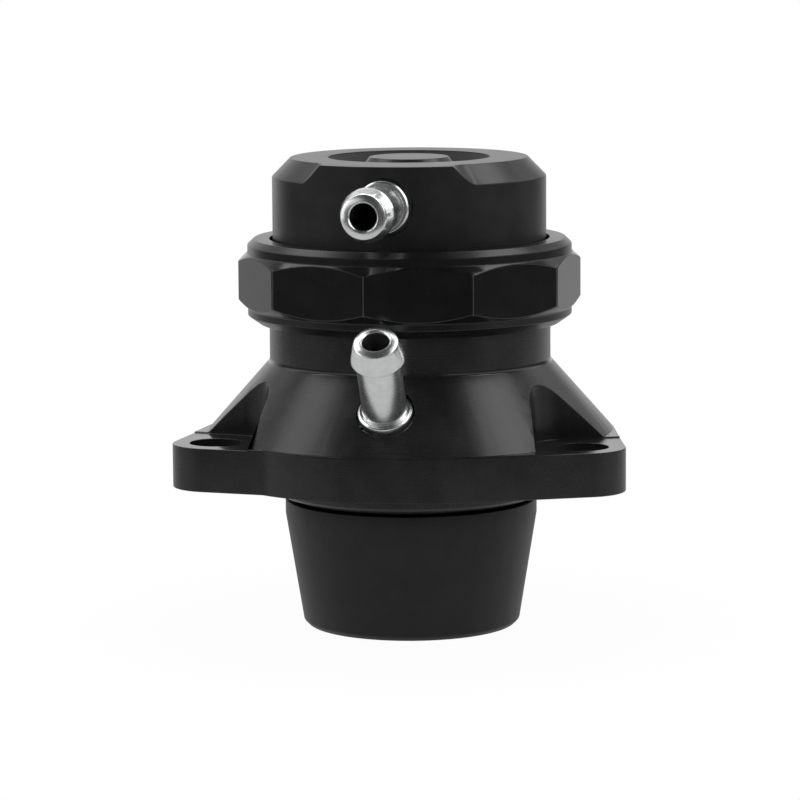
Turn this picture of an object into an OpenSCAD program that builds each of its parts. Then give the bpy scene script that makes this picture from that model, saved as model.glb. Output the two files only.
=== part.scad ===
// Blow off valve: a spring loaded piston in a flanged body, closed by a cap that a
// ten-sided union ring clamps down. Millimetres, +Z up along the piston's axis, the
// origin at the centre of the flange's underside, -Y at the front.

/* [Body] */
// Radius of the piston bore
bore_r = 16.45; // [15.5:0.05:17.5]
// Wall of the threaded barrel round the bore
barrel_wall = 1.5; // [1.2:0.05:2]
// Depth of the neck under the crests of the thread
neck_relief = 0.45; // [0.3:0.05:0.6]
// Height of the thread's start above the ring's lower face
thread_start = 0.6; // [0.5:0.1:1.5]
// Height of the neck between the cone and the ring
neck_h = 4.65; // [3.5:0.05:7]
// Fillet between the cone and the neck
neck_fillet = 0.8; // [0.2:0.1:1.5]
// Height of the cone
cone_h = 8.85; // [7.5:0.05:11]
// Width of the cone, from the neck out to the flange's rim
cone_w = 7.8; // [7:0.1:9]
// Thickness of the flange
flange_h = 5.5; // [4.5:0.1:8]
// Depth of the flat at the front of the flange's rim
front_trim = 0.55; // [0.2:0.05:1]
// Bolt circle diameter of the three ears
bolt_circle_d = 51.8; // [50:0.1:56]
// Diameter of the bolt holes
bolt_hole_d = 6.5; // [4.5:0.1:7]
// Radius of the rounded end of an ear
ear_r = 5.35; // [4.6:0.05:6]
// Angle between the left ear and the square of its relieved front flank
relief_deg = 48; // [44:1:56]
// Radius of the end mill that cuts the bolt-head pockets
pocket_r = 4.8; // [4:0.1:5.5]
// Distance from a bolt's axis to the inner wall of its pocket
pocket_reach = 6.65; // [6.6:0.05:7.6]
// Angle between the middle of a pocket and its side walls
pocket_deg = 48; // [44:1:52]
// Depth that the end mill bites past the side walls where it turns
pocket_bite = 0.05; // [0.03:0.01:0.1]
// Depth of a pocket's floor below the flange's top
pocket_depth = 0.15; // [0.1:0.05:1]
// Height of the shoulder that the piston stops on
shoulder_z = 0.8; // [0.4:0.1:1.5]
// Width of the shoulder, from the bore in to the nose's guide
shoulder_w = 0.65; // [0.4:0.05:1]
// Length of the spigot under the flange
spigot_h = 2.5; // [1.5:0.1:4]
// Wall of the spigot round the nose's guide
spigot_wall = 0.9; // [0.7:0.05:1.5]

/* [Lock ring] */
// Height of the ring
ring_h = 10.5; // [9.5:0.05:12]
// Wall of the ring between its bore and its ten flats
ring_wall = 2.3; // [2:0.05:3]
// Height of the turned corners over the ten flats
ring_corner_step = 0.95; // [0.5:0.05:0.95]
// Depth of the round lips below the flats
ring_lip_step = 0.2; // [0.05:0.05:0.4]
// Height of the upper lip's wall
ring_lip_h = 0.95; // [0.5:0.05:1.5]
// Height of the bevel between a lip and the corners
ring_corner_bevel = 1.05; // [0.6:0.05:1.6]
// Height of the lower lip's wall
ring_foot_h = 0.85; // [0.5:0.05:1.2]
// Height of the bevel on the ring's lower edge
ring_foot_bevel = 1.05; // [0.5:0.05:1.4]
// Width of the bevel on the ring's lower edge
ring_foot_w = 1.5; // [0.8:0.05:1.7]
// Height of the bevel on the ring's upper edge
ring_top_bevel = 0.75; // [0.3:0.05:1.2]
// Width of the bevel on the ring's upper edge
ring_top_w = 0.8; // [0.3:0.05:1.2]
// Thickness of the lip that holds the cap down
ring_clamp_h = 1.5; // [1:0.1:2]
// Turn of the ring round the axis
ring_turn = 9.8; // [-18:0.1:18]

/* [Cap] */
// Height of the cap above the ring
cap_rise = 10; // [9.5:0.1:14]
// Thickness of the ledge that the ring holds down
cap_ledge_h = 1.5; // [1:0.1:2]
// Width of the ledge
cap_ledge_w = 0.95; // [0.6:0.05:1.3]
// Height of the bevel round the cap's top
cap_bevel_h = 2.35; // [1:0.05:3]
// Width of the bevel round the cap's top
cap_bevel_w = 2.3; // [1:0.1:3]
// Radius of the point of the bevel's cutter
cap_cutter_r = 1.4; // [1:0.1:2]
// Angle from the middle of the cap's front to where the cutter stops
cap_front_deg = 40; // [30:1:50]
// Depth that the cutter bites where it stops
cap_dwell = 0.03; // [0.02:0.01:0.1]
// Radius of the round recess in the top
recess_r = 10; // [9:0.1:11]
// Depth of the recess
recess_depth = 2; // [1:0.1:2.2]
// Radius of the top of the boss in the recess
boss_top_r = 4.9; // [3.5:0.1:6]
// Width of the boss's sloping flank
boss_flank_w = 1.5; // [0.5:0.1:2]
// Length of the cap's spigot in the bore
cap_spigot_h = 4; // [3.4:0.1:5]
// Height of the spring's seat above the ring's top
spring_seat_rise = 1; // [0:0.1:1.6]
// Turn of the cap and its hose barb round the axis
cap_turn = -3.8; // [-20:0.1:20]

/* [Hose barbs] */
// Radius of the stem
stem_r = 2.7; // [2.4:0.05:3.1]
// Length of the stem between the collar and the barb
stem_h = 8.5; // [7:0.1:11]
// Step from the stem up to the collar
collar_step = 0.6; // [0.3:0.05:1]
// Thickness of the collar
collar_h = 1.2; // [0.8:0.1:2]
// Step from the stem up to the barb
barb_step = 0.56; // [0.2:0.01:0.7]
// Length of the barb's land
barb_land_h = 0.1; // [0.1:0.05:0.5]
// Length of the barb's taper
barb_taper_h = 2.85; // [2:0.05:4]
// Step from the stem down to the tip
tip_step = 0.05; // [0:0.05:0.3]
// Radius of the bore through a barb
barb_bore_r = 1.6; // [1:0.05:1.65]
// Width of the countersink at the tip
barb_sink = 0.25; // [0.1:0.05:0.5]
// Small bevel of the barb's edges
barb_edge = 0.25; // [0.1:0.05:0.35]
// Step from the stem down to the shank that screws in
shank_step = 0.6; // [0.4:0.05:0.65]
// Length of the shank
shank_h = 2.3; // [1.8:0.1:2.5]
// Run-out of a socket past the end of its shank
socket_run = 0.3; // [0.2:0.1:0.6]
// Height of the upper barb's axis above the ring's top
upper_barb_rise = 5.1; // [4.5:0.1:5.4]
// Angle of the lower barb above the horizontal
lower_barb_deg = 53.3; // [50:0.1:56]
// Turn of the lower barb round the axis
lower_barb_turn = -1.4; // [-10:0.1:10]
// Distance from the flange's rim in to where the lower barb's axis leaves the cone
lower_barb_inset = 4.35; // [4:0.05:4.6]
// Depth of the lower barb's spot face under the cone
spot_depth = 0.7; // [0.6:0.05:0.8]
// Depth of the upper barb's spot face under the cap's wall
cap_spot_depth = 0.4; // [0.4:0.05:0.8]
// Radius of the port under the lower barb
port_r = 0.7; // [0.5:0.05:0.8]

/* [Piston] */
// Stroke of the piston
piston_stroke = 8; // [4:0.5:9]
// Clearance above the piston at the end of its stroke
top_gap = 1.5; // [0.5:0.1:3]
// Gap between the spigot and the nose, where the seal shows
nose_gap = 0.65; // [0.4:0.05:0.9]
// Length of the straight land at the top of the nose
nose_land = 1.85; // [0.5:0.05:4]
// Length of the nose's taper
taper_h = 13.45; // [11:0.05:16]
// Width of the nose's taper
taper_w = 2.19; // [1:0.01:2.4]
// Bevel of the nose's lower edge
nose_bevel = 0.6; // [0.3:0.1:1]
// Width of the rim that the piston stands on
dish_rim = 2.95; // [2:0.05:4]
// Depth of the dish in the lower face
dish_depth = 2.4; // [1:0.1:2.6]
// Wall of the piston's cup
cup_wall = 3.24; // [3:0.02:3.6]
// Thickness of the piston's floor over the dish
piston_floor_h = 3.2; // [2.5:0.1:4]
// Length of the land under the head that meets the shoulder
land_h = 3.6; // [3:0.1:3.8]
// Radial clearance of the land, the air's way from the port
land_gap = 0.35; // [0.2:0.05:0.5]

/* [Spring] */
// Wire diameter
wire_d = 1.8; // [1.4:0.1:2]
// Clearance between the coil and the piston's cup
coil_gap = 2; // [1.6:0.1:2.4]
// Clearance between the coil and its pocket in the cap
spring_pocket_gap = 0.5; // [0.3:0.1:0.8]
// Number of free turns between the closed end turns
free_turns = 5; // [4:1:7]
// Thickness of the preload shim
shim_h = 1; // [0.5:0.1:1.5]

/* [Seals and guide] */
// Width of the groove for the nose seal
nose_seal_w = 2; // [1.8:0.1:2.2]
// Section of the nose seal
nose_seal_d = 1.6; // [1.4:0.05:1.7]
// Width of the groove for the head seal
head_seal_w = 2.4; // [2.2:0.1:2.6]
// Section of the head seal
head_seal_d = 2; // [1.7:0.05:2.1]
// Distance from the piston's top to the head seal's groove
head_seal_drop = 1.6; // [1.2:0.1:2]
// Width of the guide ring's groove
wear_ring_w = 3; // [2:0.1:3.2]
// Thickness of the guide ring
wear_ring_t = 1; // [0.8:0.1:1.2]
// Width of the land between the guide ring and the head seal
wear_ring_land = 0.8; // [0.5:0.1:1]
// Slit of the split guide ring
wear_ring_slit = 1; // [0.4:0.1:2]
// Width of the groove for the cap's seal
cap_seal_w = 1.95; // [1.8:0.05:2.2]
// Section of the cap's seal
cap_seal_d = 1.55; // [1.3:0.05:1.6]
// Section of the seal under the flange
flange_seal_d = 1.8; // [1.4:0.1:2]
// Distance from the spigot's wall out to the middle of that seal
flange_seal_step = 2.7; // [1.5:0.1:3]

/* [Clearances] */
// Small bevel that breaks the turned edges
edge_break = 0.4; // [0.2:0.05:0.5]
// Radial clearance between the piston and its bores
running_gap = 0.06; // [0.03:0.01:0.1]
// Radial clearance of a seal or guide ring in its bore
seal_gap = 0.03; // [0.02:0.01:0.05]
// Play of a seal or guide ring in its groove
groove_gap = 0.05; // [0.02:0.01:0.1]
// Radial clearance between screwed pieces
thread_gap = 0.1; // [0.05:0.01:0.15]
// Radial clearance of the spot face round the barb's collar
spot_gap = 0.25; // [0.1:0.05:0.4]
// Radial clearance of the spring and its shim
spring_gap = 0.4; // [0.2:0.05:0.5]
// Radial clearance between the ring and the cap
ring_gap = 0.4; // [0.2:0.05:0.5]

/* [Hidden] */
$fn = 96;
eps = 0.01;
black = [0.07, 0.07, 0.075];
zinc = [0.78, 0.8, 0.82];
steel = [0.55, 0.56, 0.58];
rubber = [0.03, 0.03, 0.03];
plastic = [0.85, 0.83, 0.76];

// Radii of the body, from the bore outwards
barrel_r = bore_r + barrel_wall;
neck_r = barrel_r - neck_relief;
flange_r = neck_r + cone_w;
guide_r = bore_r - shoulder_w;
spigot_r = guide_r + spigot_wall;
bolt_r = bolt_circle_d / 2;
ear_angles = [-150, -30, 90];
left_ear = ear_angles[0];
// A flank that is tangent to the rim and to an ear stands square to this angle from the ear
tangent_deg = acos((flange_r - ear_r) / bolt_r);

// Radii of the ring, from its thread outwards
ring_bore_r = barrel_r + thread_gap;
ring_flat = ring_bore_r + ring_wall;
ring_sides = 10;
ring_corner_r = ring_flat / cos(180 / ring_sides);
ring_blank_r = ring_flat + ring_corner_step;
ring_lip_r = ring_flat - ring_lip_step;

// Radii of the cap
cap_ledge_r = ring_bore_r - thread_gap;
cap_r = cap_ledge_r - cap_ledge_w;
cap_seat_r = cap_r - cap_spot_depth;
cap_spigot_r = bore_r - thread_gap;

// Radii of the piston and its spring
skirt_r = guide_r - running_gap;
head_r = bore_r - running_gap;
land_r = bore_r - land_gap;
nose_r = skirt_r - taper_w;
foot_r = nose_r - nose_bevel;
dish_r = foot_r - dish_rim;
cup_r = skirt_r - cup_wall;
coil_r = cup_r - coil_gap - wire_d / 2;
spring_pocket_r = coil_r + wire_d / 2 + spring_pocket_gap;
spring_boss_r = coil_r - wire_d / 2 - spring_gap;

// Heights, from the flange's underside up to the cap
neck_z = flange_h + cone_h;
ring_z = neck_z + neck_h;
thread_z = ring_z + thread_start;
ring_top_z = ring_z + ring_h;
clamp_z = ring_top_z - ring_clamp_h;
barrel_top_z = clamp_z - cap_ledge_h;
cap_spigot_z = barrel_top_z - cap_spigot_h;
cap_seal_z = (cap_spigot_z + barrel_top_z) / 2;
spring_seat_z = ring_top_z + spring_seat_rise;
cap_top_z = ring_top_z + cap_rise;
recess_z = cap_top_z - recess_depth;
upper_barb_z = ring_top_z + upper_barb_rise;

// Heights of the piston at rest on the shoulder
piston_top_z = cap_spigot_z - top_gap - piston_stroke;
land_top_z = shoulder_z + land_h;
head_groove_z = piston_top_z - head_seal_drop - head_seal_w;
wear_ring_z = head_groove_z - wear_ring_land - wear_ring_w;
nose_top_z = -spigot_h - nose_gap;
taper_z = nose_top_z - nose_land;
taper_end_z = taper_z - taper_h;
piston_bottom_z = taper_end_z - nose_bevel;
dish_z = piston_bottom_z + dish_depth;
cup_z = dish_z + piston_floor_h;
spring_boss_h = shim_h + wire_d;
spring_z = cup_z + shim_h;

// Hose barbs
collar_r = stem_r + collar_step;
barb_r = stem_r + barb_step;
tip_r = stem_r - tip_step;
barb_sink_r = barb_bore_r + barb_sink;
shank_r = stem_r - shank_step;
barb_l = collar_h + stem_h + barb_land_h + barb_taper_h;
socket_r = shank_r + thread_gap;
socket_h = shank_h + socket_run;
lower_barb_r = flange_r - lower_barb_inset;
lower_barb_z = flange_h + lower_barb_inset * cone_h / cone_w;

// Grooves and the seal under the flange
nose_groove_r = guide_r - seal_gap - nose_seal_d - groove_gap;
head_groove_r = bore_r - seal_gap - head_seal_d - groove_gap;
wear_groove_r = bore_r - seal_gap - wear_ring_t - groove_gap;
cap_groove_r = bore_r - seal_gap - cap_seal_d - groove_gap;
flange_seal_r = spigot_r + flange_seal_step;

// Moves a hose barb, built along +Z from its seat, to its spot face on the cap
module at_upper_barb() {
    rotate([0, 0, cap_turn])
        translate([0, -cap_seat_r, upper_barb_z])
            rotate([90, 0, 0])
                children();
}

// Moves a hose barb, built along +Z from its seat, to its spot face on the cone
module at_lower_barb() {
    rotate([0, 0, lower_barb_turn])
        translate([0, -lower_barb_r, lower_barb_z])
            rotate([90 - lower_barb_deg, 0, 0])
                translate([0, 0, -spot_depth])
                    children();
}

// A flat ring with its lower face at z
module ring_band(inner_r, outer_r, h, z) {
    rotate_extrude()
        translate([inner_r, z])
            square([outer_r - inner_r, h]);
}

// A round-section seal that leaves a clearance to the bore it runs in
module o_ring(outer_r, section_d, z) {
    rotate_extrude()
        translate([outer_r - section_d / 2, z])
            circle(d = section_d, $fn = 48);
}

// An ear along +X, with each flank square to its own angle from the ear
module ear(right_deg, left_deg) {
    function tangent_point(a) = [bolt_r + ear_r * cos(a), ear_r * sin(a)];
    function flank_foot(a) = (bolt_r * cos(a) + ear_r) * [cos(a), sin(a)];
    translate([bolt_r, 0])
        circle(r = ear_r);
    polygon([[0, 0], flank_foot(-right_deg), tangent_point(-right_deg),
             tangent_point(left_deg), flank_foot(left_deg)]);
}

module flange_outline() {
    circle(r = flange_r);
    for (a = ear_angles)
        rotate(a)
            ear(tangent_deg, a == left_ear ? relief_deg : tangent_deg);
}

// Half section of the cone, the neck and the barrel, filled to the axis
module turned_section() {
    polygon([[0, -spigot_h], [spigot_r - edge_break, -spigot_h], [spigot_r, edge_break - spigot_h],
             [spigot_r, 0], [flange_r, 0], [flange_r, flange_h], [neck_r, neck_z],
             [neck_r, thread_z - barrel_r + neck_r], [barrel_r, thread_z],
             [barrel_r, barrel_top_z - edge_break], [barrel_r - edge_break, barrel_top_z],
             [0, barrel_top_z]]);
    neck_blend();
}

// The concave round in the corner between the cone and the neck
module neck_blend() {
    // The cone leans by this angle from the neck's wall
    lean = atan(cone_w / cone_h);
    reach = neck_fillet * tan(lean / 2);
    centre = [neck_r + neck_fillet, neck_z + reach];
    difference() {
        polygon([[neck_r - eps, neck_z - eps], [neck_r - eps, centre[1]], [neck_r, centre[1]],
                 centre, [neck_r + reach * sin(lean), neck_z - reach * cos(lean)]]);
        translate(centre)
            circle(r = neck_fillet, $fn = 48);
    }
}

module body() {
    color(black)
        difference() {
            intersection() {
                union() {
                    rotate_extrude()
                        turned_section();
                    linear_extrude(flange_h)
                        flange_outline();
                }
                translate([-2 * flange_r, front_trim - flange_r, -2 * flange_r])
                    cube([4 * flange_r, 4 * flange_r, 4 * flange_r]);
            }
            translate([0, 0, shoulder_z])
                cylinder(r = bore_r, h = barrel_top_z);
            translate([0, 0, -spigot_h - 1])
                cylinder(r = guide_r, h = spigot_h + shoulder_z + 2);
            for (a = ear_angles)
                rotate([0, 0, a])
                    translate([bolt_r, 0, 0])
                        bolt_cut();
            at_lower_barb()
                barb_cut(port_r, 2 * flange_h);
            ring_band(flange_seal_r - flange_seal_d / 2 - groove_gap,
                      flange_seal_r + flange_seal_d / 2 + groove_gap,
                      flange_seal_d + eps, -eps);
        }
}

// A bolt hole and the pocket above it, whose walls spread towards the ear's end
module bolt_cut() {
    touch = (pocket_r - pocket_bite) * [-sin(pocket_deg), cos(pocket_deg)];
    end = touch + 4 * pocket_r * [cos(pocket_deg), sin(pocket_deg)];
    translate([0, 0, -1])
        cylinder(d = bolt_hole_d, h = flange_h + 2);
    translate([pocket_r - pocket_reach, 0, flange_h - pocket_depth])
        linear_extrude(neck_z) {
            circle(r = pocket_r);
            polygon([[touch[0], -touch[1]], [end[0], -end[1]], end, touch]);
        }
}

// The spot face and the socket for a hose barb, and the air hole at the end of the socket
module barb_cut(hole_r, hole_h) {
    cylinder(r = collar_r + spot_gap, h = 2 * collar_r);
    translate([0, 0, -socket_h])
        cylinder(r = socket_r, h = socket_h + 1);
    translate([0, 0, -hole_h])
        cylinder(r = hole_r, h = hole_h);
}

module lock_ring() {
    lip_top = ring_top_z - ring_top_bevel;
    corner_top = lip_top - ring_lip_h - ring_corner_bevel;
    foot_z = ring_z + ring_foot_bevel;
    corner_foot = foot_z + ring_foot_h + ring_corner_bevel;
    color(black)
        rotate([0, 0, ring_turn])
            intersection() {
                rotate_extrude()
                    polygon([[ring_bore_r, ring_z], [ring_lip_r - ring_foot_w, ring_z],
                             [ring_lip_r, foot_z],
                             [ring_lip_r, foot_z + ring_foot_h], [ring_blank_r, corner_foot],
                             [ring_blank_r, corner_top], [ring_lip_r, lip_top - ring_lip_h],
                             [ring_lip_r, lip_top], [ring_lip_r - ring_top_w, ring_top_z],
                             [cap_r + ring_gap, ring_top_z], [cap_r + ring_gap, clamp_z],
                             [ring_bore_r, clamp_z]]);
                translate([0, 0, ring_z - 1])
                    rotate([0, 0, 270 + 180 / ring_sides])
                        linear_extrude(ring_h + 2)
                            circle(r = ring_corner_r, $fn = ring_sides);
            }
}

module cap() {
    color(black)
        difference() {
            rotate_extrude()
                cap_section();
            rotate([0, 0, cap_turn])
                cap_bevel_cut();
            at_upper_barb()
                barb_cut(barb_bore_r, cap_seat_r + barb_bore_r);
            translate([0, 0, spring_seat_z - 1])
                cylinder(r = barb_bore_r, h = upper_barb_z - spring_seat_z + 1);
        }
}

// What the pointed cutter takes off on its way round the back, from one side of the front
// to the other. It runs out in its own round form at both ends.
module cap_bevel_cut() {
    run = 0.5;
    slope = cap_bevel_w / cap_bevel_h;
    low_z = cap_top_z - cap_bevel_h - run;
    high_z = cap_top_z + run;
    high_w = cap_bevel_w + run * slope;
    front = [sin(cap_front_deg), -cos(cap_front_deg)];
    path_r = cap_r + cap_cutter_r;
    end_r = cap_cutter_r + cap_dwell;
    difference() {
        rotate_extrude()
            polygon([[cap_r + run * slope, low_z], [2 * cap_r, low_z], [2 * cap_r, high_z],
                     [cap_r - high_w, high_z]]);
        translate([0, 0, low_z - run])
            linear_extrude(cap_bevel_h + 4 * run)
                polygon([[0, 0], 3 * cap_r * [-front[0], front[1]], 3 * cap_r * front]);
    }
    for (side = [-1, 1])
        translate([side * path_r * front[0], path_r * front[1], low_z])
            cylinder(r1 = end_r - run * slope, r2 = end_r + high_w, h = high_z - low_z);
}

// Half section of the cap, with the recess, the boss and the spring's pocket
module cap_section() {
    difference() {
        polygon([[0, spring_seat_z], [spring_pocket_r, spring_seat_z],
                 [spring_pocket_r, cap_spigot_z], [cap_spigot_r - edge_break, cap_spigot_z],
                 [cap_spigot_r, cap_spigot_z + edge_break], [cap_spigot_r, barrel_top_z],
                 [cap_ledge_r, barrel_top_z], [cap_ledge_r, clamp_z], [cap_r, clamp_z],
                 [cap_r, cap_top_z], [recess_r, cap_top_z], [recess_r, recess_z],
                 [boss_top_r + boss_flank_w, recess_z], [boss_top_r, cap_top_z], [0, cap_top_z]]);
        translate([cap_groove_r, cap_seal_z - cap_seal_w / 2])
            square([cap_r, cap_seal_w]);
    }
}

// A hose barb along +Z, with its collar seated at z = 0
module hose_barb() {
    color(zinc)
        rotate_extrude()
            polygon([[barb_bore_r, -shank_h], [shank_r - barb_edge, -shank_h],
                     [shank_r, barb_edge - shank_h], [shank_r, 0], [collar_r, 0],
                     [collar_r, collar_h - barb_edge], [collar_r - barb_edge, collar_h], [stem_r, collar_h],
                     [stem_r, collar_h + stem_h], [barb_r, collar_h + stem_h],
                     [barb_r, collar_h + stem_h + barb_land_h], [tip_r, barb_l],
                     [barb_sink_r, barb_l],
                     [barb_bore_r, barb_l - (barb_sink_r - barb_bore_r)]]);
}

module upper_hose_barb() {
    at_upper_barb()
        hose_barb();
}

module lower_hose_barb() {
    at_lower_barb()
        hose_barb();
}

module piston() {
    color(black)
        rotate_extrude()
            difference() {
                polygon([[0, dish_z], [dish_r - dish_depth, dish_z], [dish_r, piston_bottom_z],
                         [foot_r, piston_bottom_z],
                         [nose_r, taper_end_z], [skirt_r, taper_z], [skirt_r, shoulder_z],
                         [land_r, shoulder_z], [land_r, land_top_z], [head_r, land_top_z],
                         [head_r, piston_top_z - edge_break], [head_r - edge_break, piston_top_z],
                         [cup_r + edge_break, piston_top_z], [cup_r, piston_top_z - edge_break],
                         [cup_r, cup_z], [spring_boss_r, cup_z], [spring_boss_r, cup_z + spring_boss_h],
                         [0, cup_z + spring_boss_h]]);
                translate([nose_groove_r, nose_top_z])
                    square([bore_r, nose_seal_w]);
                translate([wear_groove_r, wear_ring_z])
                    square([bore_r, wear_ring_w]);
                translate([head_groove_r, head_groove_z])
                    square([bore_r, head_seal_w]);
            }
}

module piston_nose_o_ring() {
    color(rubber)
        o_ring(guide_r - seal_gap, nose_seal_d, nose_top_z + nose_seal_w / 2);
}

module piston_head_o_ring() {
    color(rubber)
        o_ring(bore_r - seal_gap, head_seal_d, head_groove_z + head_seal_w / 2);
}

module piston_wear_ring() {
    outer_r = bore_r - seal_gap;
    color(plastic)
        difference() {
            ring_band(outer_r - wear_ring_t, outer_r,
                      wear_ring_w - 2 * groove_gap, wear_ring_z + groove_gap);
            translate([0, -wear_ring_slit / 2, wear_ring_z - 1])
                cube([2 * bore_r, wear_ring_slit, wear_ring_w + 2]);
        }
}

module cap_o_ring() {
    color(rubber)
        o_ring(bore_r - seal_gap, cap_seal_d, cap_seal_z);
}

module flange_o_ring() {
    color(rubber)
        o_ring(flange_seal_r + flange_seal_d / 2, flange_seal_d, flange_seal_d / 2);
}

module spring_shim() {
    color(steel)
        ring_band(spring_boss_r + thread_gap, cup_r - spring_gap, shim_h, cup_z);
}

// A round wire swept along a coil whose end turns are closed, ground flat at both ends
module spring() {
    sides = 10;
    per_turn = 24;
    turns = free_turns + 2;
    rings = turns * per_turn;
    wire_r = wire_d / 2;
    lowest = spring_z + wire_r / 2;
    highest = spring_seat_z - wire_r / 2;
    free_pitch = (highest - lowest - 2 * wire_d) / free_turns;
    function climb(t) = t < 1 ? t * wire_d
                      : t < turns - 1 ? wire_d + (t - 1) * free_pitch
                      : highest - lowest - (turns - t) * wire_d;
    function ring_point(i, j) =
        let (a = 360 * i / per_turn, b = 360 * j / sides, r = coil_r + wire_r * cos(b))
        [r * cos(a), r * sin(a), lowest + climb(i / per_turn) + wire_r * sin(b)];
    points = [for (i = [0 : rings]) for (j = [0 : sides - 1]) ring_point(i, j)];
    walls = [for (i = [0 : rings - 1]) for (j = [0 : sides - 1])
             let (k = (j + 1) % sides)
             [i * sides + j, (i + 1) * sides + j, (i + 1) * sides + k, i * sides + k]];
    first_end = [for (j = [0 : sides - 1]) j];
    last_end = [for (j = [sides - 1 : -1 : 0]) rings * sides + j];
    color(steel)
        intersection() {
            polyhedron(points, concat([first_end], walls, [last_end]), convexity = 10);
            translate([0, 0, spring_z])
                cylinder(r = coil_r + wire_d, h = spring_seat_z - spring_z);
        }
}

body();
lock_ring();
cap();
upper_hose_barb();
lower_hose_barb();
piston();
spring();
spring_shim();
piston_head_o_ring();
piston_wear_ring();
piston_nose_o_ring();
cap_o_ring();
flange_o_ring();
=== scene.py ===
# %% [markdown]
# # Dressing a blow off valve
# The valve is a stack of turned and milled aluminium pieces, anodised black, with two
# zinc-plated hose barbs. Their sizes are already settled in the frame that is loaded here, so
# this lesson is about what a drawing leaves out: edges that a file has broken, the marks that
# the cutter left, and a studio whose reflections draw a black object.

# %% Load the frame
import math

import bpy
from mathutils import Euler, Matrix, Vector


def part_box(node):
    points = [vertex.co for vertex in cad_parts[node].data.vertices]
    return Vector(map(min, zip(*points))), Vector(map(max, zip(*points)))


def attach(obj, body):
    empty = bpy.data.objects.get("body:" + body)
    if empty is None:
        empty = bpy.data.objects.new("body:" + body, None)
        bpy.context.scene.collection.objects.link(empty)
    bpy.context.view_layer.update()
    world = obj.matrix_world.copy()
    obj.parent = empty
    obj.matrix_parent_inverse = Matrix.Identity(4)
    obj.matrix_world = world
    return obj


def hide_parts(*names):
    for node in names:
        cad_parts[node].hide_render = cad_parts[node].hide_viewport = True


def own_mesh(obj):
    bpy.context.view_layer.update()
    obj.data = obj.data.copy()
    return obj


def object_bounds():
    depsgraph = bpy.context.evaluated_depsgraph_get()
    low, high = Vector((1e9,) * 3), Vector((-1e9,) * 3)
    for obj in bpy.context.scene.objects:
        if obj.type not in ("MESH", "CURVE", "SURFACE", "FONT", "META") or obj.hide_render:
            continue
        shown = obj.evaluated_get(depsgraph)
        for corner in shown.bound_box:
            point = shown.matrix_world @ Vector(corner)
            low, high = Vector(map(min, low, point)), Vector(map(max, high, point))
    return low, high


MM = 0.001
UP = Vector((0, 0, 1))
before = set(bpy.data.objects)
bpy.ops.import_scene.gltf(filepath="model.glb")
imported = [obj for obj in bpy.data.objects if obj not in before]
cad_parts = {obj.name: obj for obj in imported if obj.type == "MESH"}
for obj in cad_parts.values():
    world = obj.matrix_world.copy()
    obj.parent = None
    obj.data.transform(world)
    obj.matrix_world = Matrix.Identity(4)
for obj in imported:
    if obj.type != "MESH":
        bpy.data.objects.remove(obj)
cad_low, cad_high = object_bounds()
print("CAD box in mm:", [round(v / MM, 2) for v in cad_high - cad_low])

# %% [markdown]
# ## The camera
# The picture was taken from well back with a long lens, a little above the valve and a little
# to its right, so upright edges stay upright. A free camera can be placed by eye, but here its
# matrix is built from the angles, because the same directions also place the lights.

# %% Camera
PICTURE_SIDE = 800
FOCAL_PIXELS = 3800
SENSOR = 36
VIEW_TURN = math.radians(7.1)
VIEW_RISE = math.radians(8.1)
VIEW_ROLL = math.radians(0.4)
AXIS_PIXELS_RIGHT = 10.5
AIM = Vector((0, 0, 9 * MM))
DISTANCE = 475 * MM
NEAREST_SEEN = 10 * MM

to_right = Vector((math.cos(VIEW_TURN), math.sin(VIEW_TURN), 0))
to_front = Vector((math.sin(VIEW_TURN), -math.cos(VIEW_TURN), 0))
to_camera = math.cos(VIEW_RISE) * to_front + math.sin(VIEW_RISE) * UP
to_top = to_camera.cross(to_right)
step_left = AXIS_PIXELS_RIGHT * DISTANCE / FOCAL_PIXELS
camera_place = AIM + DISTANCE * to_camera - step_left * to_right
frame_right = math.cos(VIEW_ROLL) * to_right - math.sin(VIEW_ROLL) * to_top
frame_top = math.sin(VIEW_ROLL) * to_right + math.cos(VIEW_ROLL) * to_top
camera_axes = Matrix((frame_right, frame_top, to_camera)).transposed().to_4x4()

bpy.ops.object.camera_add()
camera = bpy.context.active_object
camera.data.sensor_width = SENSOR
camera.data.lens = SENSOR * FOCAL_PIXELS / PICTURE_SIDE
camera.data.clip_start = NEAREST_SEEN
camera.matrix_world = Matrix.Translation(camera_place) @ camera_axes
bpy.context.scene.camera = camera
print("Camera lens", round(camera.data.lens, 1), "mm at", [round(v, 3) for v in camera.location])

# %% [markdown]
# ## Shader maths as plain expressions
# A finish is a small formula: how rough is the metal here, how deep is the groove. Wiring Math
# nodes by hand hides that formula, so a socket is wrapped in a class whose operators add the
# nodes. One method of a second class makes every other kind of node.

# %% Sockets that can be added and multiplied
NOISE_MIDDLE = 0.5


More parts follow.
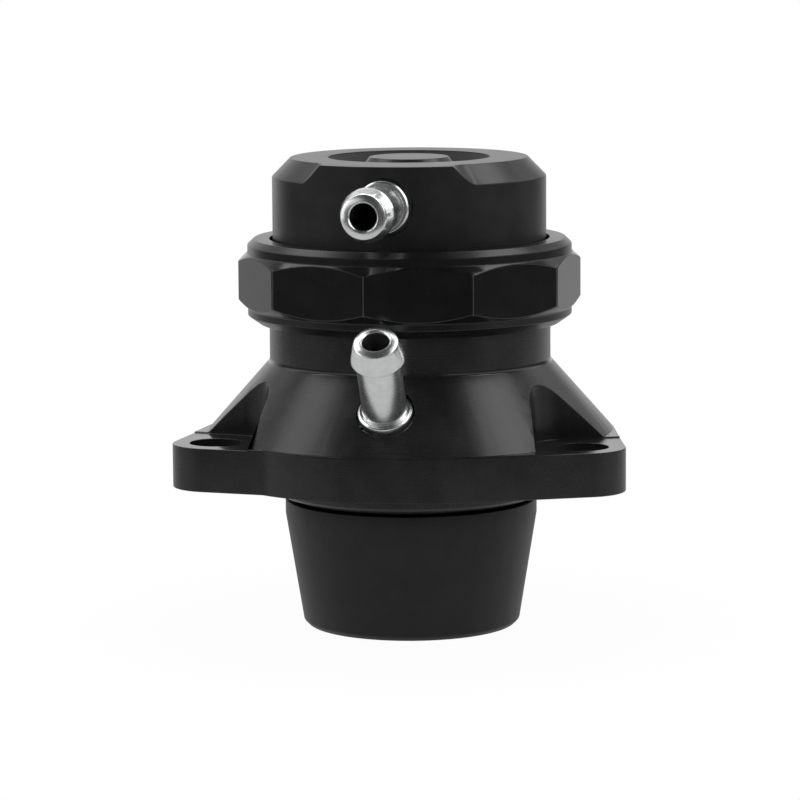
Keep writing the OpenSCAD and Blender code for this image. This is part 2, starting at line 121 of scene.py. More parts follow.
class Field:
    """A value that changes over a surface. Sums and products of fields become Math nodes."""

    def __init__(self, paint, socket):
        self.paint = paint
        self.socket = socket

    def __add__(self, other):
        return self.paint.maths("ADD", self, other)

    def __radd__(self, other):
        return self.paint.maths("ADD", other, self)

    def __sub__(self, other):
        return self.paint.maths("SUBTRACT", self, other)

    def __rsub__(self, other):
        return self.paint.maths("SUBTRACT", other, self)

    def __mul__(self, other):
        return self.paint.maths("MULTIPLY", self, other)

    def __rmul__(self, other):
        return self.paint.maths("MULTIPLY", other, self)

    def __truediv__(self, other):
        return self.paint.maths("DIVIDE", self, other)

    def __pow__(self, other):
        return self.paint.maths("POWER", self, other)

    def over(self, low, high):
        """0 below low, 1 above high and a smooth step between them."""
        settings = {"interpolation_type": "SMOOTHSTEP"}
        inputs = {"Value": self, "From Min": low, "From Max": high}
        return self.paint.node("ShaderNodeMapRange", settings, inputs)

    def within(self, start, full, fading, gone):
        """1 from full to fading, with a smooth step to 0 at start and at gone."""
        return self.over(start, full) * (1 - self.over(fading, gone))

    def swing(self, width):
        """A noise between 0 and 1 as a change round zero, as wide as given."""
        return width * (self - NOISE_MIDDLE)


print("Fields ready")

# %% Node trees and finishes
# A Mix node has sockets of the same name for numbers, vectors and colours: these are the colours
MIX_FIRST = 6
MIX_SECOND = 7
MIX_RESULT = 2


class Paint:
    """A node tree, and the one way to add a node to it."""

    def __init__(self, tree):
        self.tree = tree

    def plug(self, socket, value):
        """Links a field to a socket, or writes a constant on it."""
        if isinstance(value, Field):
            self.tree.links.new(value.socket, socket)
        else:
            socket.default_value = value

    def node(self, kind, settings=None, inputs=None, output=0):
        """Adds a node and returns one of its outputs as a field."""
        made = self.tree.nodes.new(kind)
        for name, value in (settings or {}).items():
            setattr(made, name, value)
        for key, value in (inputs or {}).items():
            self.plug(made.inputs[key], value)
        return Field(self, made.outputs[output])

    def maths(self, operation, *values):
        return self.node("ShaderNodeMath", {"operation": operation}, dict(enumerate(values)))

    def mixed(self, factor, first, second):
        """A colour that goes from first to second with the factor."""
        inputs = {0: factor, MIX_FIRST: first, MIX_SECOND: second}
        return self.node("ShaderNodeMix", {"data_type": "RGBA"}, inputs, MIX_RESULT)


def new_finish(name, settings):
    """A material with its constant settings on the shader's own sockets."""
    material = bpy.data.materials.new(name)
    material.use_nodes = True
    paint = Paint(material.node_tree)
    paint.material = material
    paint.shader = material.node_tree.nodes["Principled BSDF"]
    for socket, value in settings.items():
        paint.shader.inputs[socket].default_value = value
    return paint


def straight_rays(paint):
    """1 for a ray that comes from the camera or through glass, and 0 for any other."""
    seen = paint.node("ShaderNodeLightPath", output="Is Camera Ray")
    in_glass = paint.node("ShaderNodeLightPath", output="Is Transmission Ray")
    return paint.maths("MAXIMUM", seen, in_glass)


print("Node trees ready")

# %% [markdown]
# ## The studio
# A black object shows only what it mirrors. In the picture the front of the room is dark, which
# keeps the middle of every face black, and the white sweep behind lights the top faces and the
# rims. A pale wall on each side draws the hairline in the hollow round at the foot of the neck.
# A picture of a room could be wrapped round the valve, but a formula of the ray's direction
# needs no file, and each of its lights can be moved alone. The camera itself sees plain white.

# %% World
WHITE = (1, 1, 1, 1)
LOW_LIGHT = 0.085
HIGH_LIGHT = 0.05
SIDE_LIGHT = 0.12
WALL_LIGHT = 0.8
SWEEP_LIGHT = 0.95
SWEEP_TURN = math.radians(6)
# How far a ray points along an axis where a light starts and is full, and where the walls end
HIGH_RAMP = (0, 0.4)
SIDE_RAMP = (0.25, 0.9)
WALL_HEIGHTS = (0.2, 0.35, 0.5, 0.65)
WALL_START = (0.3, 0.6)
WALL_END = (0.55, 0.9)
SWEEP_RAMP = (0.68, 0.98)

scene = bpy.context.scene
scene.view_settings.view_transform = "Standard"
scene.world = bpy.data.worlds.new("studio")
scene.world.use_nodes = True
background = scene.world.node_tree.nodes["Background"]
room = Paint(scene.world.node_tree)
direction = room.node("ShaderNodeTexCoord")


def along(axis):
    """How far the direction of a ray points along an axis, from -1 to 1."""
    inputs = {0: direction, 1: axis}
    return room.node("ShaderNodeVectorMath", {"operation": "DOT_PRODUCT"}, inputs, "Value")


upwards = along(UP)
sideways = room.maths("ABSOLUTE", along(to_right))
backwards = along(-math.cos(SWEEP_TURN) * to_front - math.sin(SWEEP_TURN) * to_right)
front = LOW_LIGHT + upwards.over(*HIGH_RAMP) * (HIGH_LIGHT - LOW_LIGHT)
around = front + sideways.over(*SIDE_RAMP) * (SIDE_LIGHT - front)
wall_length = sideways.over(*WALL_START) * (1 - backwards.over(*WALL_END))
walled = around + upwards.within(*WALL_HEIGHTS) * wall_length * WALL_LIGHT
mirrored = walled + backwards.over(*SWEEP_RAMP) * (SWEEP_LIGHT - SIDE_LIGHT)
straight = straight_rays(room)
room.plug(background.inputs["Strength"], straight + (1 - straight) * mirrored)
room.plug(background.inputs["Color"], WHITE)
print("World: white to the camera, dark in front")

# %% [markdown]
# ## Soft boxes
# Two soft boxes high on the left and right draw the pale bands on the cone, and a third above
# the sweep lights the top. A point lamp would draw dots. An area lamp has a size, which sets how
# wide a band is, and its power follows from that size, so that the cloth stays as bright when
# the box grows.

# %% Soft boxes
def soft_box(name, turn, rise, distance, width, height, radiance):
    """An oblong lamp that faces the valve. Turn is in degrees, from the front to the right."""
    turn, rise = math.radians(turn), math.radians(rise)
    level = math.cos(turn) * to_front + math.sin(turn) * to_right
    towards = math.cos(rise) * level + math.sin(rise) * UP
    bpy.ops.object.light_add(type="AREA")
    lamp = bpy.context.active_object
    lamp.name = name
    lamp.data.shape = "RECTANGLE"
    lamp.data.size = width
    lamp.data.size_y = height
    lamp.data.energy = radiance * math.pi * width * height
    lamp.location = AIM + distance * towards
    lamp.rotation_euler = towards.to_track_quat("Z", "Y").to_euler()
    lamp.visible_camera = False
    return lamp


soft_box("right_soft_box", turn=99, rise=55, distance=0.5, width=0.34, height=0.16, radiance=2.6)
soft_box("left_soft_box", turn=-110, rise=52, distance=0.5, width=0.34, height=0.16, radiance=2.0)
soft_box("top_soft_box", turn=180, rise=62, distance=0.6, width=0.5, height=0.3, radiance=2.0)
print("Soft boxes: right, left and one above the sweep")

# %% [markdown]
# ## The floor
# The valve stands on a white paper sweep that shows as pure white, with a faint shadow under the
# nose. Lamps could light the paper until it is white, but they would wash over the black metal
# as well. So the camera is shown white with a small share of the lit paper near the valve, which
# carries the shadow, and the metal mirrors a greyer white.

# %% Floor
FLOOR_FRONT = 0.11
FLOOR_BACK = 0.6
FLOOR_SIDE = 0.25
FLOOR_MIRRORED = 0.57
SHADOW_SHARE = 0.03
# Millimetres from the valve between which the shadow fades
SHADOW_REACH = (25, 60)
PAPER = {"Base Color": (0.8, 0.8, 0.8, 1), "Roughness": 0.6, "Specular IOR Level": 0.2}

bpy.ops.mesh.primitive_plane_add(size=1)
floor = bpy.context.active_object
floor.name = "floor"
floor.scale = (2 * FLOOR_SIDE, FLOOR_BACK + FLOOR_FRONT, 1)
floor.location = (0, (FLOOR_BACK - FLOOR_FRONT) / 2, cad_low.z)
bpy.ops.object.transform_apply(location=True, rotation=False, scale=True)

sweep = new_finish("white_sweep", PAPER)
lit = Field(sweep, sweep.shader.outputs["BSDF"])
straight = straight_rays(sweep)
glossy = sweep.node("ShaderNodeLightPath", output="Is Glossy Ray")
place = sweep.node("ShaderNodeTexCoord", output="Object")
reach = sweep.node("ShaderNodeVectorMath", {"operation": "LENGTH"}, {0: place}, "Value") / MM
far = reach.over(*SHADOW_REACH)
share = straight * (1 - SHADOW_SHARE + SHADOW_SHARE * far) + (1 - straight) * glossy
brightness = straight + (1 - straight) * FLOOR_MIRRORED
glow = sweep.node("ShaderNodeEmission", {}, {"Strength": brightness})
surface = sweep.node("ShaderNodeMixShader", {}, {0: share, 1: lit, 2: glow})
sweep.plug(sweep.tree.nodes["Material Output"].inputs["Surface"], surface)
floor.data.materials.append(sweep.material)
print("Floor at", round(cad_low.z / MM, 2), "mm")

# %% [markdown]
# ## Marks of the cutter
# Anodising keeps every mark of the cutter. A lathe leaves fine rings. They could be modelled as
# grooves, but they are too fine for a mesh, so they are a noise that reads the distance from the
# axis and the height, with a slow drift so that no ring is perfect. A second, slow noise makes
# the tint and the sheen uneven, the way handling does.

# %% Places and noise
def place_mm(paint, centre=(0, 0, 0), turn=(0, 0, 0)):
    """The place on the piece in millimetres, seen from a centre and along a turned axis."""
    place = paint.node("ShaderNodeTexCoord", output="Object")
    inputs = {"Vector": place, "Location": centre, "Rotation": turn}
    moved = paint.node("ShaderNodeMapping", {"vector_type": "TEXTURE"}, inputs)
    scaled = {0: moved, "Scale": 1 / MM}
    return paint.node("ShaderNodeVectorMath", {"operation": "SCALE"}, scaled)


def noise(paint, vector, scale, detail):
    """A noise between 0 and 1. Scale is its number of humps in one unit of the vector."""
    inputs = {"Vector": vector, "Scale": scale, "Detail": detail}
    return paint.node("ShaderNodeTexNoise", {}, inputs)


def split(paint, vector):
    """The X, Y and Z of a vector."""
    parts = paint.node("ShaderNodeSeparateXYZ", {}, {0: vector})
    outputs = parts.socket.node.outputs
    return [Field(paint, outputs[axis]) for axis in "XYZ"]


def joined(paint, x, y, z):
    """A vector from its X, Y and Z."""
    return paint.node("ShaderNodeCombineXYZ", {}, {"X": x, "Y": y, "Z": z})


def from_axis(x, y):
    """How far a place is from the axis."""
    return (x * x + y * y) ** 0.5


print("Places and noise ready")

# %% Lathe marks, tint and relief
MICRON = 1e-6
DRIFT_SCALE = 0.08
DRIFT_WIDTH = 3
CLOUD_RAMP = (0.3, 0.7)
DARK_SHARES = (0.8, 0.81, 0.83)
PALE_SHARES = (1.25, 1.25, 1.26)


def lathe_marks(paint, place, pitch):
    """Fine rings round the axis, which drift a little on their way round."""
    x, y, z = split(paint, place)
    drift = DRIFT_WIDTH * noise(paint, place, scale=DRIFT_SCALE, detail=1.0)
    ringed = joined(paint, from_axis(x, y) / pitch, z / pitch, drift)
    return noise(paint, ringed, scale=1.0, detail=3.0)


def blacks(base):
    """A darker and a paler black on either side of a level."""
    return [tuple(part * base for part in parts) + (1,) for parts in (DARK_SHARES, PALE_SHARES)]


def clouded(paint, cloud, dark, pale):
    """A tint that wanders from dark to pale with a slow noise."""
    return paint.mixed(cloud.over(*CLOUD_RAMP), dark, pale)


def finished(paint, tint, roughness, relief, depth):
    """Plugs the tint, the roughness and a relief of the given depth, and returns the material."""
    inputs = {"Strength": 1.0, "Distance": depth, "Height": relief}
    bump = paint.node("ShaderNodeBump", {}, inputs)
    for socket, value in (("Base Color", tint), ("Roughness", roughness), ("Normal", bump)):
        paint.plug(paint.shader.inputs[socket], value)
    return paint.material


print("Marks ready")

# %% [markdown]
# ## Black anodised aluminium
# The body, the cap and the nose are the same metal under the same black layer, and differ in sheen
# and in how fine they were cut. Three materials could be wired one by one, but one function with
# a few numbers keeps them alike. Some places were cut otherwise: a boring tool left the recess in
# the cap dull, and it is also painted paler, a painted light for the light that falls into it from
# above. The round at the foot of the neck and the tops of the ears are smoother. A formula of the
# place marks them, so that the mesh needs no extra cuts.

# %% Black anodised aluminium
BLACK_IOR = 1.5
DUST_TINT = (0.05, 0.05, 0.048, 1)
DUST_RAMP = (0.76, 0.8)
DUST_COVER = 0.3
DUST_ROUGHER = 0.1
# Painted light: the recess in the cap is painted paler, for the light that falls into it from above
PAINTED_LIGHT_TINT = (0.2, 0.2, 0.197, 1)
MATT_ROUGHER = 0.2
BURNISHED_SMOOTHER = 0.19
GRAIN_RELIEF = 0.5


def nowhere(paint, place):
    return 0.0


def black_anodised(name, base, rough, pitch, depth, level, dull_and_lit_places=nowhere, bright=nowhere):
    """Turned metal under a black layer, with dull places that are also painted paler, a painted light,
    and places that are bright.
    """
    paint = new_finish(name, {"IOR": BLACK_IOR, "Specular IOR Level": level})
    place = place_mm(paint)
    dull_and_lit = dull_and_lit_places(paint, place)
    burnished = bright(paint, place)
    marks = lathe_marks(paint, place, pitch)
    cloud = noise(paint, place, scale=0.25, detail=3.0)
    grain = noise(paint, place, scale=9.0, detail=2.0)
    dust = noise(paint, place, scale=2.2, detail=1.0).over(*DUST_RAMP)
    tint = clouded(paint, cloud, *blacks(base))
    tint = paint.mixed(dust * DUST_COVER, tint, DUST_TINT)
    # Painted light: the dull places, the cap's recess, are painted paler
    tint = paint.mixed(dull_and_lit, tint, PAINTED_LIGHT_TINT)
    sheen = rough + cloud.swing(0.08) + marks.swing(0.05) + grain.swing(0.06) + DUST_ROUGHER * dust
    sheen = sheen + MATT_ROUGHER * dull_and_lit - BURNISHED_SMOOTHER * burnished
    return finished(paint, tint, sheen, marks + GRAIN_RELIEF * grain, depth)


print("Black layer ready")

# %% Finishes of the body, the cap and the nose
# Millimetres at which a place starts, is full, fades and is gone; the recess is under the cap's top
RECESS_RADII = (6.5, 6.7, 10.05, 10.15)
RECESS_HEIGHTS = (-2.5, -2.2, -0.2, -0.05)
NECK_FOOT_HEIGHTS = (14.08, 14.14, 14.55, 14.65)
EAR_TOP_HEIGHTS = (5.24, 5.28, 5.54, 5.58)
EAR_TOP_SHARE = 0.7

cap_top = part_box("cap")[1].z / MM


def cap_recess(paint, place):
    """The floor and the wall of the round recess, outside its boss."""
    x, y, z = split(paint, place)
    return from_axis(x, y).within(*RECESS_RADII) * (z - cap_top).within(*RECESS_HEIGHTS)


def fine_cuts(paint, place):
    """The round at the foot of the neck and the tops of the ears."""
    z = split(paint, place)[2]
    return z.within(*NECK_FOOT_HEIGHTS) + EAR_TOP_SHARE * z.within(*EAR_TOP_HEIGHTS)


body_finish = black_anodised(
    "body_anodised", base=0.03, rough=0.27, pitch=0.16, depth=0.6 * MICRON, level=0.5, bright=fine_cuts
)
cap_finish = black_anodised(
    "cap_anodised", base=0.037, rough=0.32, pitch=0.14, depth=0.9 * MICRON, level=0.5, dull_and_lit_places=cap_recess
)
nose_finish = black_anodised(
    "nose_anodised", base=0.02, rough=0.42, pitch=0.2, depth=1.2 * MICRON, level=0.36
)
print("Finishes of the body, the cap and the nose ready")

# %% [markdown]
# ## The ring's polish
# The flats of the union ring were milled lengthwise with a sharp cutter and are almost a mirror,
# while its lips are as turned. The ten corners get a painted highlight, a pale hairline where their
# edges would catch the light. Corners could be found by a painted mask, but here the mesh of the
# frame gives their distance and their turn round the axis, and a ping-pong of the angle draws the
# painted highlight on each of them.

# %% Corners of the ring
RING_SIDES = 10
CORNER_SLACK = 0.02 * MM

ring_points = [vertex.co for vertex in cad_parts["lock_ring"].data.vertices]
corner_radius = max(math.hypot(point.x, point.y) for point in ring_points)
corner_step = 2 * math.pi / RING_SIDES
# The corners are turned off, so that their points lie evenly on both sides of the middle
corner_turns = [
    math.atan2(point.y, point.x) % corner_step
    for point in ring_points
    if math.hypot(point.x, point.y) > corner_radius - CORNER_SLACK
]
corner_turn = sum(corner_turns) / len(corner_turns)
print("Ring corners at", round(corner_radius / MM, 2), "mm")
print("First corner at", round(math.degrees(corner_turn), 1), "degrees")

# %% Polished ring
# Painted highlight: a pale hairline on each corner of the ring, where its edges would catch the light
CORNER_HIGHLIGHT_TINT = (0.13, 0.13, 0.13, 1)
# Radians beside a corner, then millimetres from its radius and from the axis
CORNER_HIGHLIGHT_TURN = (0.002, 0.005)
CORNER_HIGHLIGHT_DEPTH = (-0.07, -0.04)
FLATS_RAMP = (20.2, 20.35)
LIP_ROUGHER = 0.14
STROKES_ACROSS = 5
STROKES_ALONG = 0.25
STROKE_RELIEF = 0.6
RING_RELIEF = 0.3


def polished_anodised(name, base, rough, level, pitch, depth):
    """The ring: flats almost a mirror, lips left as turned, a painted highlight on each corner."""
    paint = new_finish(name, {"IOR": BLACK_IOR, "Specular IOR Level": level})
    place = place_mm(paint)
    x, y, z = split(paint, place)
    stretched = joined(paint, STROKES_ACROSS * x, STROKES_ACROSS * y, STROKES_ALONG * z)
    strokes = noise(paint, stretched, scale=1.0, detail=3.0)
    rings = lathe_marks(paint, place, pitch)
    cloud = noise(paint, place, scale=0.3, detail=3.0)
    radius = from_axis(x, y)
    milled = radius.over(*FLATS_RAMP)
    turn = paint.maths("ARCTAN2", y, x) - corner_turn
    beside_corner = paint.maths("PINGPONG", turn, corner_step / 2)
    outermost = (radius - corner_radius / MM).over(*CORNER_HIGHLIGHT_DEPTH)
    # Painted highlight along each corner, mixed into the Base Color
    corner_highlight = outermost * (1 - beside_corner.over(*CORNER_HIGHLIGHT_TURN))
    tint = paint.mixed(corner_highlight, clouded(paint, cloud, *blacks(base)), CORNER_HIGHLIGHT_TINT)
    sheen = rough + LIP_ROUGHER * (1 - milled) + cloud.swing(0.06) + strokes.swing(0.1) * milled
    relief = STROKE_RELIEF * strokes * milled + RING_RELIEF * rings
    return finished(paint, tint, sheen, relief, depth)


ring_finish = polished_anodised(
    "ring_anodised", base=0.014, rough=0.14, level=0.5, pitch=0.15, depth=0.6 * MICRON
)
print("Finish of the ring ready")

# %% [markdown]
# ## Zinc plate
# The barbs are turned steel under bright zinc, which is pale, a little cool and slightly cloudy.
# A plain metal shader would look like chrome, so lathe marks and a fine grain roughen it. The
# marks run round each barb's own axis, so the place is measured from a point on that axis, the
# barb's root, and turned.

# %% Zinc plate
UPPER_ROOT = (0, 0, 34.6 * MM)
UPPER_TURN = (math.radians(90), 0, math.radians(-3.8))
LOWER_ROOT = (-0.502 * MM, -20.526 * MM, 9.874 * MM)
LOWER_TURN = (math.radians(36.7), 0, math.radians(-1.4))
DARK_ZINC = (0.8, 0.815, 0.815, 1)
PALE_ZINC = (0.9, 0.91, 0.905, 1)
ZINC_ROUGH = 0.25
ZINC_PITCH = 0.12
ZINC_DEPTH = 0.9 * MICRON


def zinc_plate(name, root, turn):
    """Bright zinc, turned round the axis through a barb's root."""
    paint = new_finish(name, {"Metallic": 1.0})
    place = place_mm(paint, root, turn)
    marks = lathe_marks(paint, place, ZINC_PITCH)
    cloud = noise(paint, place, scale=0.8, detail=3.0)
    grain = noise(paint, place, scale=6.0, detail=2.0)
    tint = clouded(paint, cloud, DARK_ZINC, PALE_ZINC)
    sheen = ZINC_ROUGH + cloud.swing(0.08) + marks.swing(0.1) + grain.swing(0.08)
    return finished(paint, tint, sheen, marks + grain, ZINC_DEPTH)


upper_zinc = zinc_plate("upper_barb_zinc", UPPER_ROOT, UPPER_TURN)
lower_zinc = zinc_plate("lower_barb_zinc", LOWER_ROOT, LOWER_TURN)
print("Zinc ready")

# %% [markdown]
# ## Rubber, spring steel and guide plastic
# What is inside the valve hardly shows, but it is seen when the valve is taken apart: moulded
# nitrile seals, drawn spring wire and a filled plastic guide ring. One function makes all three,
# because each of them is a cloudy tint with a fine grain.

# %% Inner materials
GRAIN_PER_CLOUD = 8
INNER_SWING = 0.15


def plain_stuff(name, settings, dark, pale, rough, scale, depth):
    """A cloudy tint with a grain. Scale is the number of clouds in a millimetre."""
    paint = new_finish(name, settings)
    place = place_mm(paint)
    cloud = noise(paint, place, scale=scale, detail=3.0)
    grain = noise(paint, place, scale=GRAIN_PER_CLOUD * scale, detail=2.0)
    tint = clouded(paint, cloud, dark, pale)
    return finished(paint, tint, rough + grain.swing(INNER_SWING), grain, depth)


rubber = plain_stuff(
    "seal_rubber", {},
    dark=(0.012, 0.012, 0.012, 1), pale=(0.022, 0.022, 0.021, 1),
    rough=0.55, scale=0.6, depth=4 * MICRON,
)
steel = plain_stuff(
    "spring_steel", {"Metallic": 1.0},
    dark=(0.42, 0.42, 0.42, 1), pale=(0.56, 0.55, 0.53, 1),
    rough=0.3, scale=0.7, depth=2 * MICRON,
)
plastic = plain_stuff(
    "guide_plastic", {},
    dark=(0.74, 0.71, 0.62, 1), pale=(0.82, 0.79, 0.71, 1),
    rough=0.5, scale=0.5, depth=3 * MICRON,
)
print("Inner materials ready")

# %% [markdown]
# ## Machined pieces
# The turned and milled pieces keep the exact form of the frame. A CAD solid has knife edges,
# though, and a real edge is broken with a file, so that it catches a hairline of light. Each of
# these pieces could be modelled again, but a copy of its solid is exact: the triangles are merged
# into whole faces, the sharp edges get a small round, and weighted normals keep the flat faces
# flat.

# %% Copy a solid
MERGE = 0.001 * MM
FLAT = math.radians(0.4)


def pick(piece):
    """Makes the piece the only one that is selected, and the active one."""
    bpy.ops.object.select_all(action="DESELECT")
    piece.select_set(True)
    bpy.context.view_layer.objects.active = piece


def copy_of(node, name):
    """A piece with the form of a CAD node, its loose triangles merged into whole faces."""
    piece = bpy.data.objects.new(name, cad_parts[node].data.copy())
    bpy.context.scene.collection.objects.link(piece)
    pick(piece)
    bpy.ops.object.mode_set(mode="EDIT")
    bpy.ops.mesh.select_all(action="SELECT")
    bpy.ops.mesh.customdata_custom_splitnormals_clear()
    bpy.ops.mesh.remove_doubles(threshold=MERGE)
    bpy.ops.mesh.dissolve_limited(angle_limit=FLAT)
    bpy.ops.object.mode_set(mode="OBJECT")
    piece.data.materials.clear()
    return piece


print("Solids are copied with faces merged up to", round(math.degrees(FLAT), 2), "degrees")

# %% Break edges
SHARP = math.radians(25)
SMOOTH = math.radians(40)
EDGE_SEGMENTS = 2


def everywhere(middle):
    return True


def select_sharp(piece, wanted):
    """Selects the sharp edges whose middle is wanted."""
    pick(piece)
    bpy.ops.object.mode_set(mode="EDIT")
    bpy.ops.mesh.select_mode(type="EDGE")
    bpy.ops.mesh.select_all(action="DESELECT")
    bpy.ops.mesh.edges_select_sharp(sharpness=SHARP)
    bpy.ops.object.mode_set(mode="OBJECT")
    mesh = piece.data
    for edge in mesh.edges:
        first, second = (mesh.vertices[i].co for i in edge.vertices)
        if edge.select and not wanted((first + second) / 2):
            edge.select = False


def break_edges(piece, width, wanted=everywhere):
    """Rounds the wanted sharp edges a little and keeps the faces between them flat."""
    select_sharp(piece, wanted)
    bpy.ops.object.mode_set(mode="EDIT")
    bpy.ops.mesh.bevel(
        offset=width, segments=EDGE_SEGMENTS, affect="EDGES", clamp_overlap=False, miter_outer="ARC"
    )
    bpy.ops.mesh.select_mode(type="VERT")
    bpy.ops.object.mode_set(mode="OBJECT")
    bpy.ops.object.shade_smooth_by_angle(angle=SMOOTH)
    weights = piece.modifiers.new("weights", "WEIGHTED_NORMAL")
    weights.keep_sharp = True
    bpy.ops.object.modifier_apply(modifier=weights.name)
    return piece


print("Edges are broken from", round(math.degrees(SHARP)), "degrees")


# %% Dress a piece
def dress(piece, finish, slot, body, *nodes):
    """Gives the piece its finish and its place on a body, and hides what it stands for."""
    piece.data.materials.append(finish)
    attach(piece, body)
    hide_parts(*nodes)
    print(piece.name, len(piece.data.polygons), "faces")


# %% [markdown]
# ## Body, ring, cap and piston
# These four black pieces are most of what the valve shows. Their edges are broken everywhere, apart
# from two places: round the lower barb's collar the spot face runs out to nothing, so that a round
# would tear there, and the inside of the cap can't be seen.

# %% Body, ring, cap and piston
EDGE = 0.12 * MM
RING_EDGE = 0.1 * MM
SPOT_FACE_RADIUS = 4 * MM
CAP_INSIDE_RADIUS = 16.2 * MM
CAP_INSIDE_TOP = 37 * MM


def from_root(point, root, turn):
    """A point as seen from a barb's root, with +Z out along the barb."""
    return Euler(turn).to_matrix().transposed() @ (point - Vector(root))


def outside_spot_face(middle):
    """Whether an edge of the body lies away from the lower barb's collar."""
    place = from_root(middle, LOWER_ROOT, LOWER_TURN)
    return math.hypot(place.x, place.y) > SPOT_FACE_RADIUS


def outside_cap(middle):
    """Whether an edge of the cap lies on its outside or on its top."""
    return math.hypot(middle.x, middle.y) > CAP_INSIDE_RADIUS or middle.z > CAP_INSIDE_TOP


body = break_edges(copy_of("body", "machined_body"), EDGE, outside_spot_face)
dress(body, body_finish, "black_anodised", "housing", "body")
lock_ring = break_edges(copy_of("lock_ring", "machined_lock_ring"), RING_EDGE)
dress(lock_ring, ring_finish, "black_anodised", "housing", "lock_ring")
cap = break_edges(copy_of("cap", "machined_cap"), EDGE, outside_cap)
dress(cap, cap_finish, "black_anodised", "housing", "cap")
piston = break_edges(copy_of("piston", "machined_piston"), EDGE)
dress(piston, nose_finish, "satin_black_anodised", "piston", "piston")

# %% [markdown]
# ## The hose barbs
# The barbs are the only bright pieces. A photographer holds white cards round them to give them
# white flanks, close enough to miss the black pieces. Light linking does the same here: the cards
# shine on the barbs alone. The end of a turned barb isn't quite flat either. A bevel would eat
# into its narrow tip, so the end face is made anew and its rim is drawn back a little.

# %% White cards
barb_set = bpy.data.collections.new("barbs_for_cards")
for card in (
    soft_box("right_card", turn=62, rise=32, distance=0.4, width=0.16, height=0.42, radiance=1.4),
    soft_box("back_right_card", turn=143, rise=14, distance=0.45, width=0.29, height=0.33, radiance=1.3),
    soft_box("left_card", turn=-88, rise=14, distance=0.4, width=0.38, height=0.3, radiance=1.1),
):
    card.light_linking.receiver_collection = barb_set
print("Cards for the barbs: right, back right and left")

# %% Hose barbs
BARB_EDGE = 0.06 * MM
TIP_CROWN = 0.32 * MM
TIP_RIM_RADIUS = 2.2 * MM
TIP_SLACK = 0.02 * MM


def open_tip(piece, root, turn):
    """Deletes the faces of a barb's flat end and returns the end's distance from the root."""
    mesh = piece.data
    pick(piece)
    bpy.ops.object.mode_set(mode="EDIT")
    bpy.ops.mesh.select_mode(type="FACE")
    bpy.ops.mesh.select_all(action="DESELECT")
    bpy.ops.object.mode_set(mode="OBJECT")
    reaches = [from_root(vertex.co, root, turn).z for vertex in mesh.vertices]
    end = max(reaches) - TIP_SLACK
    for face in mesh.polygons:
        face.select = all(reaches[i] > end for i in face.vertices)
    bpy.ops.object.mode_set(mode="EDIT")
    bpy.ops.mesh.delete(type="FACE")
    return end


def crown_tip(piece, root, turn):
    """Closes the end of a barb again, with its rim drawn back so that the end is crowned."""
    end = open_tip(piece, root, turn)
    bpy.ops.mesh.select_mode(type="EDGE")
    bpy.ops.mesh.select_non_manifold()
    bpy.ops.mesh.bridge_edge_loops()
    bpy.ops.mesh.select_mode(type="VERT")
    bpy.ops.mesh.select_all(action="DESELECT")
    bpy.ops.object.mode_set(mode="OBJECT")
    for vertex in piece.data.vertices:
        place = from_root(vertex.co, root, turn)
        vertex.select = place.z > end and math.hypot(place.x, place.y) > TIP_RIM_RADIUS
    bpy.ops.object.mode_set(mode="EDIT")
    bpy.ops.transform.translate(value=Euler(turn).to_matrix() @ Vector((0, 0, -TIP_CROWN)))
    bpy.ops.object.mode_set(mode="OBJECT")


for node, finish, root, turn in (
    ("upper_hose_barb", upper_zinc, UPPER_ROOT, UPPER_TURN),
    ("lower_hose_barb", lower_zinc, LOWER_ROOT, LOWER_TURN),
):
    barb = copy_of(node, "plated_" + node)
    crown_tip(barb, root, turn)
    break_edges(barb, BARB_EDGE)
    dress(barb, finish, "zinc_plate", "housing", node)
    barb_set.objects.link(barb)

# %% [markdown]
# ## The spring
# The return spring is round wire wound to a coil whose end turns are closed and ground flat. A
# screw modifier can wind a circle, but its pitch is even. So a curve with a round section follows
# the turns, and once it is a mesh both ends are cut off on the planes of their seats. In the real
# valve the coil shortens towards the cap when the piston lifts; here it is one fixed mesh on the
# housing.

# %% Way of the wire
WIRE = 1.8 * MM
FREE_TURNS = 5
PER_TURN = 36
SECTION_STEPS = 4

spring_low, spring_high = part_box("spring")
coil_radius = spring_high.x - WIRE / 2
first_height = spring_low.z + WIRE / 4
last_height = spring_high.z - WIRE / 4
free_pitch = (last_height - first_height - 2 * WIRE) / FREE_TURNS


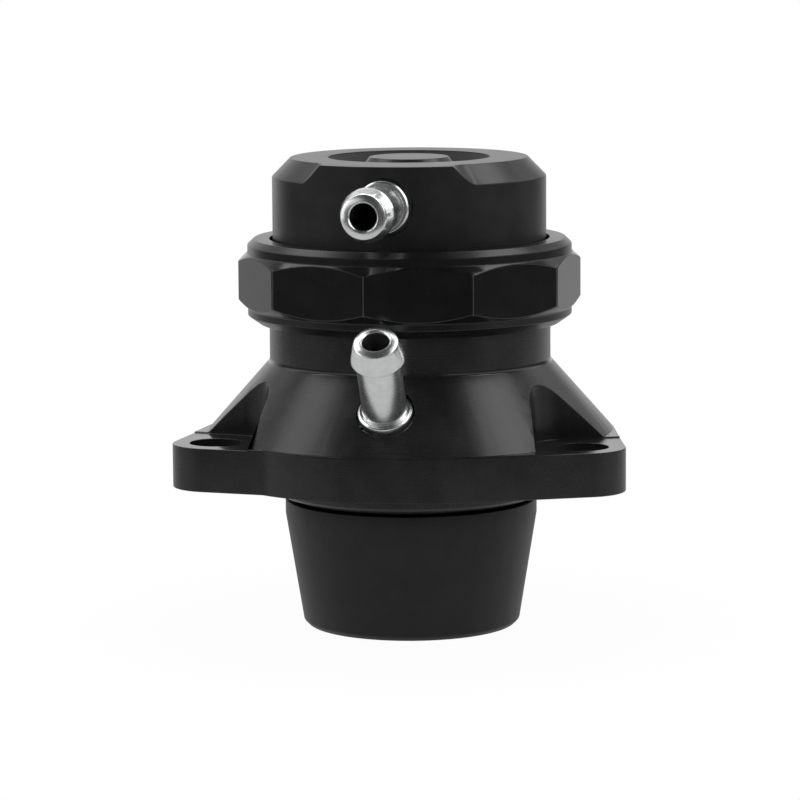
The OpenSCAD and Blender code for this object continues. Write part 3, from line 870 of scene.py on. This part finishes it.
def wire_height(turn):
    """Height of the wire's middle: closed turns at both ends, even free turns between."""
    if turn < 1:
        return first_height + turn * WIRE
    if turn < FREE_TURNS + 1:
        return first_height + WIRE + (turn - 1) * free_pitch
    return last_height - (FREE_TURNS + 2 - turn) * WIRE


print("Free pitch", round(free_pitch / MM, 2), "mm")

# %% Return spring
line = bpy.data.curves.new("wound_spring", "CURVE")
line.dimensions = "3D"
line.bevel_depth = WIRE / 2
line.bevel_resolution = SECTION_STEPS
line.use_fill_caps = True
path = line.splines.new("POLY")
path.points.add((FREE_TURNS + 2) * PER_TURN)
for i, point in enumerate(path.points):
    angle = 2 * math.pi * i / PER_TURN
    height = wire_height(i / PER_TURN)
    point.co = (coil_radius * math.cos(angle), coil_radius * math.sin(angle), height, 1)
spring = bpy.data.objects.new("wound_spring", line)
bpy.context.scene.collection.objects.link(spring)
pick(spring)
bpy.ops.object.convert(target="MESH")
spring = bpy.context.active_object
bpy.ops.object.mode_set(mode="EDIT")
for seat, outwards in ((spring_low, -UP), (spring_high, UP)):
    bpy.ops.mesh.select_all(action="SELECT")
    bpy.ops.mesh.bisect(plane_co=seat.z * UP, plane_no=outwards, use_fill=True, clear_outer=True)
bpy.ops.object.mode_set(mode="OBJECT")
bpy.ops.object.shade_smooth_by_angle(angle=SMOOTH)
dress(spring, steel, "spring_steel", "housing", "spring")
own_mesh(spring)

# %% [markdown]
# ## Seals, guide ring and shim
# These are plain moulded, cut or punched rings, and a closed valve hides nearly all of them. They
# could be copied and rounded like the machined pieces, but nobody would see the difference, so the
# solids of the frame stay and only get their finishes.

# %% Seals, guide ring and shim
for node, finish, slot in (
    ("piston_head_o_ring", rubber, "seal_rubber"),
    ("piston_nose_o_ring", rubber, "seal_rubber"),
    ("cap_o_ring", rubber, "seal_rubber"),
    ("flange_o_ring", rubber, "seal_rubber"),
    ("piston_wear_ring", plastic, "guide_plastic"),
    ("spring_shim", steel, "spring_steel"),
):
    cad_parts[node].data.materials.clear()
    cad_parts[node].data.materials.append(finish)
print("Seals, guide ring and shim have their finishes")
